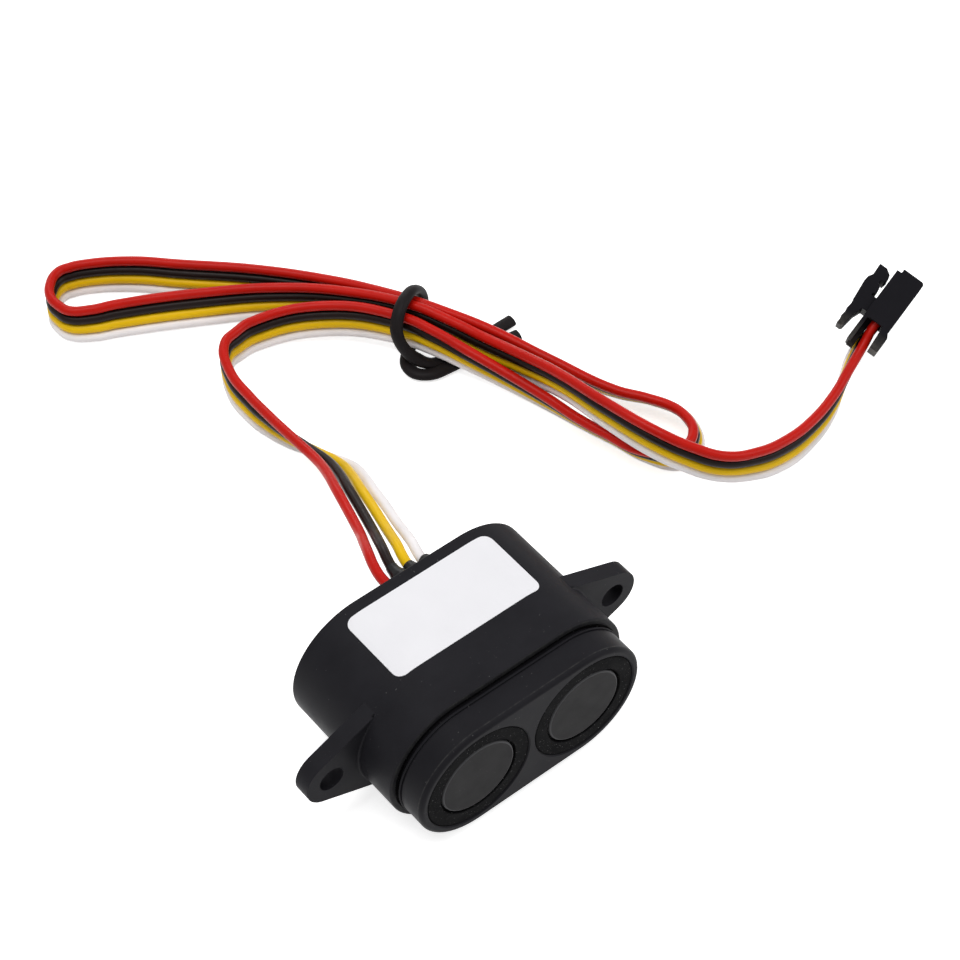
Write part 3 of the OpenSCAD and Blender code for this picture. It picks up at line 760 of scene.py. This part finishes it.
class SENSOR_OT_stage(bpy.types.Operator):
    """Sets up the camera, the white floor and the soft studio light"""

    bl_idname = "sensor.stage"
    bl_label = "Stage"

    def execute(self, context):
        scene = context.scene
        keep = set(frame["nodes"].values()) | set(frame["bodies"].values())
        for thing in [o for o in bpy.data.objects if o not in keep]:
            bpy.data.objects.remove(thing)
        lens = bpy.data.cameras.new("camera")
        lens.lens = LENS
        lens.sensor_width = SENSOR_WIDTH
        lens.clip_start = 0.01
        scene.camera = add_object("camera", lens)
        scene.camera.location = CAMERA_AT
        scene.camera.rotation_euler = CAMERA_TURN
        scene.view_settings.view_transform = "Standard"

        floor = start("plane", "floor", size=3, location=(0.04, 0.05, 0))
        edit(floor)
        bpy.ops.mesh.subdivide(number_cuts=4)
        done()
        floor.data.materials.append(self.white_floor())

        self.sky(scene)
        for name, place, size, power in LAMPS:
            lamp = bpy.data.lights.new(name, "AREA")
            lamp.shape = "DISK"
            lamp.size = size
            lamp.energy = power
            holder = add_object(name, lamp)
            holder.location = place
            holder.rotation_euler = (AIM - Vector(place)).to_track_quat("-Z", "Y").to_euler()
        return {"FINISHED"}

    def white_floor(self):
        """Pale and matt, with a glow of its own for the rays that see the background."""
        look = Finish("white_floor", roughness=0.9, specular_ior_level=0.0)
        look.mottle(look.noise(0.05, 3), (0.86, 0.86, 0.86), 0.01)
        glow = look.add("Emission")
        look.fill(glow, strength=0.7)
        dark = look.add("BsdfTransparent")
        look.fill(dark, color=(0, 0, 0, 1))
        total = look.add("AddShader")
        output = next(n for n in look.tree.nodes if n.type == "OUTPUT_MATERIAL")
        look.link(look.shader.outputs[0], total.inputs[0])
        look.link(look.pick(look.seen(), dark, glow), total.inputs[1])
        look.link(total.outputs[0], output.inputs["Surface"])
        return look.material

    def sky(self, scene):
        """Even grey light, seen as white by camera, glossy and transmission rays."""
        world = scene.world or bpy.data.worlds.new("world")
        scene.world = world
        world.use_nodes = True
        look = Nodes(world.node_tree)
        look.tree.nodes.clear()
        grey, white = look.add("Background"), look.add("Background")
        look.fill(grey, color=(1, 1, 1, 1), strength=0.42)
        look.fill(white, color=(1, 1, 1, 1))
        output = look.add("OutputWorld")
        look.link(look.pick(look.seen(), grey, white), output.inputs["Surface"])


class SENSOR_OT_lead(bpy.types.Operator):
    """Lays the four wires and the twist tie along their lines"""

    bl_idname = "sensor.lead"
    bl_label = "Lead"

    def execute(self, context):
        sizes, colours = context.scene.sensor_sizes, context.scene.sensor_colours
        rows = [[u / 1000 for u in row] for row in TIE_ROWS]
        line = [Vector(p) for p in smooth_rows(rows, 4)]
        tie = oval_sweep("tie", line, TIE_MIDDLE, sizes.tie_width, sizes.tie_thickness)
        smooth(tie, 40)
        look = moulded("tie_plastic", (0.0125, 0.0105, 0.011), 0.4, 0.55, ior=1.15)
        finish(tie, look, "twist_tie")
        for name, place in WIRES:
            line, slot = wire_line(place), f"{name}_pvc"
            wire = round_curve(f"{name}_lead", line, sizes.wire_diameter)
            finish(wire, insulation(slot, getattr(colours, name)), f"{name}_wire")
        return {"FINISHED"}


class SENSOR_OT_housing(bpy.types.Operator):
    """Models the housing: a racetrack shell with two ears and their coves"""

    bl_idname = "sensor.housing"
    bl_label = "Housing"

    def execute(self, context):
        s = context.scene.sensor_sizes
        out, bore, edge = MIDDLE, MIDDLE - s.wall, s.body_edge
        seam_y = RIM_Y + s.seam_depth
        shoulder = bore - s.board_ledge
        section = [(out - s.rim_width, seam_y), (out - s.rim_width, RIM_Y + 0.0001)]
        section += [(out - s.rim_width + 0.0001, RIM_Y)]
        section += arc((out - edge, RIM_Y + edge), edge, -90, 0, 4)
        section += arc((out - edge, REAR_Y - edge), edge, 0, 90, 4)
        section += [
            (bore + 0.0002, REAR_Y), (bore, REAR_Y - 0.0002),
            (bore, BOARD_FRONT), (shoulder, BOARD_FRONT),
            (shoulder, BEZEL_REAR), (bore, BEZEL_REAR), (bore, seam_y),
        ]
        body = racetrack("sensor_housing", section)
        ears = []
        for side in (1, -1):
            ears += [self.ear(s, side), self.cove(s, side)]
        unite(body, ears)
        smooth(body)
        colour = context.scene.sensor_colours.housing
        # painted highlight: a broken light line along the housing's front rim edge
        look = moulded("housing_plastic", colour, dust=0.03,
                       painted_highlights=[(RIM_Y + 0.00005, 0.00014, 0.024)], ior=1.12)
        finish(body, look, "housing")
        return {"FINISHED"}

    def tip(self, s):
        """Where an ear's tip arc meets its upper straight edge: x, and height over the middle."""
        slope = s.ear_slope
        return s.hole_pitch / 2 + s.ear_radius * math.sin(slope), s.ear_radius * math.cos(slope)

    def ear(self, s, side):
        """One ear: tip arc and straight edges, drawn out and drilled."""
        x, y = s.hole_pitch / 2, FRONT_Y + s.ear_setback
        root_x = end_axis() + MIDDLE * 0.4
        tip_x, tip_z = self.tip(s)
        root_z = tip_z + (tip_x - root_x) * math.tan(s.ear_slope)
        lean = 90 - math.degrees(s.ear_slope)
        outline = arc((x, 0), s.ear_radius, -lean, lean, 28)
        outline += [(root_x, root_z), (root_x, -root_z)]
        places = [(side * u, y, MIDDLE + v) for u, v in outline]
        ear = prism("ear", places, (0, s.ear_thickness, 0))
        bore = start(
            "cylinder", "bore", vertices=HOLE_STEPS, radius=s.hole_diameter / 2, depth=0.01,
            location=(side * x, y, MIDDLE), rotation=(math.pi / 2, 0, 0),
        )
        combine(ear, [bore])
        radius = MIDDLE - 0.0006
        inner = racetrack("inner", [(radius, y - 0.01), (radius, y + 0.01)], False)
        combine(ear, [inner])
        ease_edges(ear, 0.00022, 3, 50)
        return ear

    def cove(self, s, side):
        """The cove between an ear's front and the round end of the housing."""
        y, r, out = FRONT_Y + s.ear_setback, s.ear_cove, MIDDLE
        section = [(out - 0.0004, y + 0.0004), (out - 0.0004, y - r), (out, y - r)]
        section += arc((out + r, y - r), r, 180, 90, 8)[1:]
        section += [(out + r, y + 0.0004)]
        half, reach = end_axis(), math.radians(54)
        cove = draw("cove", [
            (side * (half + u * math.cos(reach)), v, MIDDLE - u * math.sin(reach))
            for u, v in section
        ], True)
        bpy.ops.mesh.edge_face_add()
        bpy.ops.mesh.spin(
            steps=24, angle=2 * reach, center=(side * half, 0, MIDDLE), axis=(0, side, 0)
        )
        close_up()
        tip_x, tip_z = self.tip(s)
        for up in (1, -1):
            mark_all()
            bpy.ops.mesh.bisect(
                plane_co=(side * tip_x, 0, MIDDLE + up * tip_z),
                plane_no=(side * math.sin(s.ear_slope), 0, up * math.cos(s.ear_slope)),
                use_fill=True, clear_outer=True,
            )
        close_up()
        done()
        return cove


class SENSOR_OT_front(bpy.types.Operator):
    """Models the bezel with its collar, the rubber rings and the transducer cans"""

    bl_idname = "sensor.front"
    bl_label = "Front"

    def execute(self, context):
        s, colours = context.scene.sensor_sizes, context.scene.sensor_colours
        collar = MIDDLE - s.collar_inset
        plug = MIDDLE - s.wall - 0.0001
        foot = RIM_Y - s.seam_gap
        r, lip = s.collar_round, 0.00015
        section = arc((collar - r, FRONT_Y + r), r, -90, 0, 8)
        section += [
            # a fine groove and a lip at the collar's foot
            (collar, foot - 0.0007), (collar - lip, foot - 0.00067), (collar - lip, foot - 0.00038),
            (collar + lip * 0.6, foot - 0.00035), (collar + lip, foot - 0.0003),
            (collar + lip, foot - 0.00005), (collar + lip - 0.00005, foot), (plug, foot),
            (plug, BEZEL_REAR),
        ]
        bezel = racetrack("sensor_bezel", section, False)
        seat = s.ring_diameter / 2 + 0.00005
        for side in (-1, 1):
            bore = turned("bore", [
                (0, FRONT_Y - 0.001), (seat + 0.0012, FRONT_Y - 0.001), (seat + 0.0002, FRONT_Y),
                (seat, FRONT_Y + 0.0002), (seat, RING_REAR), (s.lead_hole / 2, RING_REAR),
                (s.lead_hole / 2, BEZEL_REAR + 0.001), (0, BEZEL_REAR + 0.001),
            ], side * s.transducer_pitch / 2)
            combine(bezel, [bore])
        smooth(bezel)
        # painted highlight: a broken light line along the collar's front edge
        # painted shade: the bezel's plastic is the housing's darkened to 0.85, so that its front
        # face, which the fill lamp lights more, does not come out lighter
        look = moulded("bezel_plastic", [0.85 * c for c in colours.housing], 0.38, 0.48, dust=0.04,
                       painted_highlights=[(FRONT_Y + s.collar_round, 0.00014, 0.036)], ior=1.12)
        finish(bezel, look, "bezel")

        ring_look = rubber("ring_rubber", colours.rubber)
        can_look = self.disc_finish(s, colours.disc)
        can = s.can_diameter / 2
        for side, name in ((-1, "transmitter"), (1, "receiver")):
            x = side * s.transducer_pitch / 2
            low, stop, bottom = RING_FRONT, can - s.ring_stop, RING_FRONT + s.face_gap_depth
            out, edge, gap = s.ring_diameter / 2, 0.0003, can + s.face_gap
            ring = turned(f"{name}_rubber", [
                (gap + 0.0001, low), *arc((out - edge, low + edge), edge, -90, 0, 5),
                (out, RING_REAR), (stop, RING_REAR), (stop, CAN_REAR), (can + 0.00005, CAN_REAR),
                (can + 0.00005, bottom), (gap, bottom), (gap, low + 0.0001),
            ], x)
            smooth(ring)
            finish(ring, ring_look, f"{name}_ring")
            front, edge = CAN_FRONT, 0.00035
            inner, back = can - s.can_wall, front + s.can_face
            cup = turned(f"{name}_cup", [
                (0, front), *arc((can - edge, front + edge), edge, -90, 0, 6), (can, CAN_REAR),
                (inner, CAN_REAR), (inner, back), (0, back),
            ], x)
            smooth(cup)
            finish(cup, can_look, f"{name}_can")
        return {"FINISHED"}

    def disc_finish(self, sizes, colour):
        """Dark grey anodised face, with a painted highlight ring on its rounded edge."""
        look = Finish("can_metal", ior=1.145)
        broad = look.noise(0.004, 4)
        look.mottle(broad, colour, 0.09)
        look.dust(0.0004, 0.02, 0.09)
        x, z = look.axes()[::2]
        across = look.figure("SUBTRACT", look.figure("ABSOLUTE", x), sizes.transducer_pitch / 2)
        up = look.figure("SUBTRACT", z, MIDDLE)
        square = look.figure("ADD", look.figure("POWER", across, 2), look.figure("POWER", up, 2))
        radius, can = look.figure("SQRT", square), sizes.can_diameter / 2
        # painted highlight: a paler ring just inside the can's rounded edge
        look.cover(look.spread(radius, 0, 1, (can - 0.00035, can - 0.0002)), (0.075, 0.075, 0.078))
        look.gloss(broad, 0.42, 0.52)
        look.bump([(look.noise(0.00012, 2), 0.000005)])
        return look.material


class SENSOR_OT_rear(bpy.types.Operator):
    """Pours the rear sealant with a drawn-up lump round each wire"""

    bl_idname = "sensor.rear"
    bl_label = "Rear"

    def execute(self, context):
        s = context.scene.sensor_sizes
        out = MIDDLE - s.wall - 0.00005
        top = REAR_Y - s.sealant_recess
        fill = racetrack("sensor_sealant", [
            (out, SEALANT_FRONT), (out, top + 0.0003),
            (out - 0.0004, top + 0.0001), (out - 0.0012, top),
        ], False)
        z = MIDDLE + s.exit_rise
        lumps, holes, sleeves = [], [], []
        for wire, (share, reach, climb) in zip(WIRES, LUMPS):
            place = wire[1]
            x = s.exit_x - place * s.exit_pitch
            lumps.append(self.lump(s, x, z, share * s.lump_radius, reach * s.lump_reach, top))
            holes.append(start(
                "cylinder", "hole", vertices=WIRE_STEPS, radius=s.wire_diameter / 2 + 0.00005,
                depth=0.03, location=(x, REAR_Y, z), rotation=(math.pi / 2, 0, 0),
            ))
            if climb:
                sleeves.append(self.sleeve(s, place, share * s.lump_radius, climb))
        nub = 0.4 * s.lump_reach
        lumps.append(start(
            "uv_sphere", "nub", segments=20, ring_count=12, radius=nub,
            location=(s.exit_x + s.exit_pitch, REAR_Y + nub, z + 0.6 * s.lump_radius),
        ))
        combine(fill, lumps, "UNION")
        combine(fill, holes)
        unite(fill, sleeves)
        smooth(fill, 40)
        look = moulded("sealant", (0.0095, 0.0092, 0.0098), 0.22, 0.4, grain=0.0009,
                       relief=0.00004, ior=1.25)
        finish(fill, look, "rear_sealant")
        return {"FINISHED"}

    def sleeve(self, s, place, radius, climb):
        """Sealant that has crept up one wire: a thinning sleeve along the wire's own line."""
        line = [Vector(p) for p in smooth_rows([tuple(p) for p in wire_line(place)[:16]], 6)]
        line = [p for p in line if REAR_Y - 0.0002 < p.y < REAR_Y + climb]
        bore, lip = s.wire_diameter / 2 + 0.00003, 0.00008
        radii = []
        for i in range(len(line)):
            t = i / (len(line) - 1)
            swell = 0.08 * math.sin(5 * t + 9 * place) + 0.05 * math.sin(13 * t + 4 * place)
            radii.append(bore + lip + (0.78 * radius - bore) * (1 - t) ** 1.3 * (1 + swell))
        return ring_sweep("sleeve", line, radii, bore)

    def lump(self, s, x, z, radius, reach, top):
        """Sealant drawn up round one wire: full at the rear edge, hollow towards its tip."""
        neck = max(0.55 * radius, 0.6 * s.wire_diameter)
        return turned("lump", [
            (0, top - 0.0005), (radius, top - 0.0005), (radius, REAR_Y - 0.0003),
            (radius * 0.97, REAR_Y), (radius * 0.86, REAR_Y + reach * 0.28),
            (radius * 0.76, REAR_Y + reach * 0.55), (max(neck, radius * 0.66), REAR_Y + reach * 0.8),
            (neck, REAR_Y + reach), (0, REAR_Y + reach),
        ], x, z, WIRE_STEPS)


class SENSOR_OT_label(bpy.types.Operator):
    """Lays the bare white label over the top of the housing"""

    bl_idname = "sensor.label"
    bl_label = "Label"

    def execute(self, context):
        s = context.scene.sensor_sizes
        low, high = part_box("label")
        top, front, rear = high[2] - MIDDLE, low[1] - 0.001, high[1] + 0.001
        film = racetrack("sensor_label", [
            (MIDDLE, front), (top, front), (top, rear), (MIDDLE, rear),
        ])
        x, y = (low[0] + high[0]) / 2, FRONT_Y + s.label_setback + s.label_width / 2
        half_x, half_y = s.label_length / 2 - s.label_round, s.label_width / 2 - s.label_round
        outline = []
        for i, (dx, dy) in enumerate(((1, 1), (-1, 1), (-1, -1), (1, -1))):
            corner = (x + dx * half_x, y + dy * half_y)
            outline += [(*p, MIDDLE) for p in arc(corner, s.label_round, 90 * i, 90 * i + 90, 8)]
        combine(film, [prism("cut", outline, (0, 0, MIDDLE + 0.001))], "INTERSECT")
        ease_edges(film, 0.00005, 2, 60)
        smooth(film)
        look = moulded("label_film", context.scene.sensor_colours.label, 0.36, 0.46,
                       grain=0.0004, relief=0.000004, share=0.012, ior=1.3)
        finish(film, look, "label")
        return {"FINISHED"}


class SENSOR_OT_plug(bpy.types.Operator):
    """Models the four-way plug with its latch lever"""

    bl_idname = "sensor.plug"
    bl_label = "Plug"

    def execute(self, context):
        s = context.scene.sensor_sizes
        half, skirt, end = s.plug_thickness / 2, s.skirt_length, s.plug_length
        wall, hinge = 0.00075, s.skirt_length + 0.0006

        # body: block and upper skirt in one outline, with the step in its mating face
        body = self.slab("sensor_plug", [
            (0.0007, half - wall), (skirt - 0.0003, half - wall), (skirt, half - wall - 0.0003),
            (skirt, -half), (end - 0.0004, -half), (end, -half + 0.0004), (end, half - 0.0009),
            (end - 0.0008, half - 0.0009), (end - 0.0008, half), (0.0007, half),
        ], s.plug_width)
        ease_edges(body, 0.00012)
        cuts = []
        # each way: the wires' entry, the opening for the mating pin and its lead-in
        steps = (
            (skirt - 0.0005, end - 0.001, 0.0021),
            (end - 0.0015, end + 0.001, 0.0014),
            (end - 0.0003, end + 0.001, 0.0018),
        )
        for way in (-1.5, -0.5, 0.5, 1.5):
            z = way * s.plug_pitch
            for low, high, side in steps:
                cuts.append(start("cube", "cut", size=1, location=((low + high) / 2, 0, z),
                                  scale=(high - low, side, side)))
        combine(body, cuts)
        parts = [self.slab("lower_skirt", [
            (0.0016, -half - 0.0005), (skirt - 0.0012, -half - 0.0005),
            (skirt - 0.0004, -half - 0.00001), (skirt + 0.001, -half + 0.00001),
            (skirt + 0.001, -half + 0.0015), (0.0016, -half + 0.0011),
        ], s.plug_width - 0.00004)]
        ease_edges(parts[0], 0.0001)
        for step in (-1, 0, 1):
            rib = self.slab("rib", [
                (0.0002, 0.00105), (skirt + 0.001, 0.00095), (skirt + 0.001, half - wall / 2),
                (0.0002, half - wall / 2),
            ], 0.0003, step * s.plug_pitch)
            ease_edges(rib, 0.00008)
            parts.append(rib)
        lever = self.slab("lever", [(hinge + u, half + v) for u, v in (
            # neck, then the slot under the hook
            (0, -0.0002), (0.0029, -0.0002), (0.0029, 0.0011), (0.0033, 0.001), (0.0034, 0.0006),
            (0.0047, 0.0006), (0.0052, 0.0012), (0.0059, 0.0012), (0.0059, 0.0005),
            # nose
            (0.0068, 0.0003), (0.0075, 0.0005), (0.0082, 0.0016), (0.0082, 0.0031), (0.006, 0.003),
            (0.0052, 0.0035), (0.0042, 0.0036),
            # thumb pad with its three grip steps
            (0.0003, 0.0032), (0.0001, 0.003), (-0.0016, 0.0032), (-0.0018, 0.003),
            (-0.0032, 0.0032), (-0.0034, 0.003), (-0.0046, 0.0031), (-0.0046, 0.0023),
            (-0.0043, 0.0019), (-0.0015, 0.0015), (0, 0.0009),
        )], s.lever_width)
        self.round_pad(lever, hinge - 0.0045, s.lever_width / 2)
        ease_edges(lever, 0.0001)
        unite(body, [*parts, lever])
        body.location, body.rotation_euler = PLUG_AT, PLUG_POSE.to_euler()
        bpy.ops.object.transform_apply()
        smooth(body, 30)
        # the nylon is made paler towards the wires' entry end
        look = moulded("plug_nylon", context.scene.sensor_colours.plug, 0.5, 0.62, ior=1.12,
                       paler_end=(PLUG_AT, PLUG_RUN, 0.0048, 0.0022, (0.06, 0.057, 0.052)))
        finish(body, look, "connector_housing")
        return {"FINISHED"}

    def slab(self, name, outline, width, middle=0):
        """A side outline in (length, thickness) drawn out across the plug."""
        return prism(name, [(u, v, middle - width / 2) for u, v in outline], (0, 0, width))

    def round_pad(self, lever, near, half):
        """Rounds the two corners of the thumb pad's free end."""
        edit(lever)
        choose("edges", lambda e: all(v.co.x < near for v in e.verts)
               and abs(abs(e.verts[0].co.z) - half) < 1e-6
               and abs(e.verts[0].co.z - e.verts[1].co.z) < 1e-6
               and abs(e.verts[0].co.x - e.verts[1].co.x) < 1e-5)
        bpy.ops.mesh.bevel(offset=0.0012, segments=5, affect="EDGES")
        close_up()
        done()


class SENSOR_OT_inside(bpy.types.Operator):
    """Gives the closed-in parts their finishes"""

    bl_idname = "sensor.inside"
    bl_label = "Inside"

    def execute(self, context):
        colours = context.scene.sensor_colours
        looks = {
            rubber("seal_rubber", colours.rubber): ["bezel_seal"],
            moulded("piezo", (0.55, 0.48, 0.38), 0.5, 0.7): ["transmitter_piezo", "receiver_piezo"],
            moulded("felt", (0.62, 0.6, 0.55), 0.85, 1.0, 0.0003, 0.00008): [
                "transmitter_felt", "receiver_felt"],
            moulded("filling", (0.03, 0.03, 0.03), 0.4, 0.6): [
                "transmitter_filling", "receiver_filling"],
            metal("tinned_pin", (0.62, 0.62, 0.6), 0.2, 0.35): ["transducer_leads"],
            moulded("board", (0.01, 0.09, 0.035), 0.25, 0.4, 0.0008, 0.000008): ["circuit_board"],
            moulded("chip", (0.018, 0.018, 0.019), 0.45, 0.6): ["microcontroller", "amplifier_chip"],
            moulded("transformer", (0.05, 0.03, 0.02), 0.4, 0.6): ["drive_transformer"],
            metal("capacitor_can", (0.6, 0.6, 0.62), 0.25, 0.4): ["capacitors"],
            metal("contact_metal", (0.62, 0.58, 0.5), 0.22, 0.38, (1, 8, 1)): ["connector_contacts"],
        }
        for look, nodes in looks.items():
            for node in nodes:
                paint(frame["nodes"][node], look)
        return {"FINISHED"}


class SENSOR_PT_panel(bpy.types.Panel):
    """Lists the sensor's steps, sizes and colours"""

    bl_idname = "SENSOR_PT_panel"
    bl_label = "Ultrasonic sensor"
    bl_space_type = "VIEW_3D"
    bl_region_type = "UI"
    bl_category = "Sensor"

    def draw(self, context):
        layout = self.layout
        for operator in OPERATORS:
            layout.operator(operator.bl_idname)
        for group in (context.scene.sensor_sizes, context.scene.sensor_colours):
            box = layout.box()
            for name in group.__annotations__:
                box.prop(group, name)


OPERATORS = (
    SENSOR_OT_stage,
    SENSOR_OT_lead,
    SENSOR_OT_housing,
    SENSOR_OT_front,
    SENSOR_OT_rear,
    SENSOR_OT_label,
    SENSOR_OT_plug,
    SENSOR_OT_inside,
)
CLASSES = (SensorSizes, SensorColours, *OPERATORS, SENSOR_PT_panel)


def register():
    for item in CLASSES:
        bpy.utils.register_class(item)
    bpy.types.Scene.sensor_sizes = bpy.props.PointerProperty(type=SensorSizes)
    bpy.types.Scene.sensor_colours = bpy.props.PointerProperty(type=SensorColours)


def unregister():
    del bpy.types.Scene.sensor_colours
    del bpy.types.Scene.sensor_sizes
    for item in reversed(CLASSES):
        bpy.utils.unregister_class(item)


def main():
    register()
    bpy.ops.sensor.stage()
    bpy.ops.sensor.lead()
    bpy.ops.sensor.housing()
    bpy.ops.sensor.front()
    bpy.ops.sensor.rear()
    bpy.ops.sensor.label()
    bpy.ops.sensor.plug()
    bpy.ops.sensor.inside()


if __name__ == "__main__":
    main()
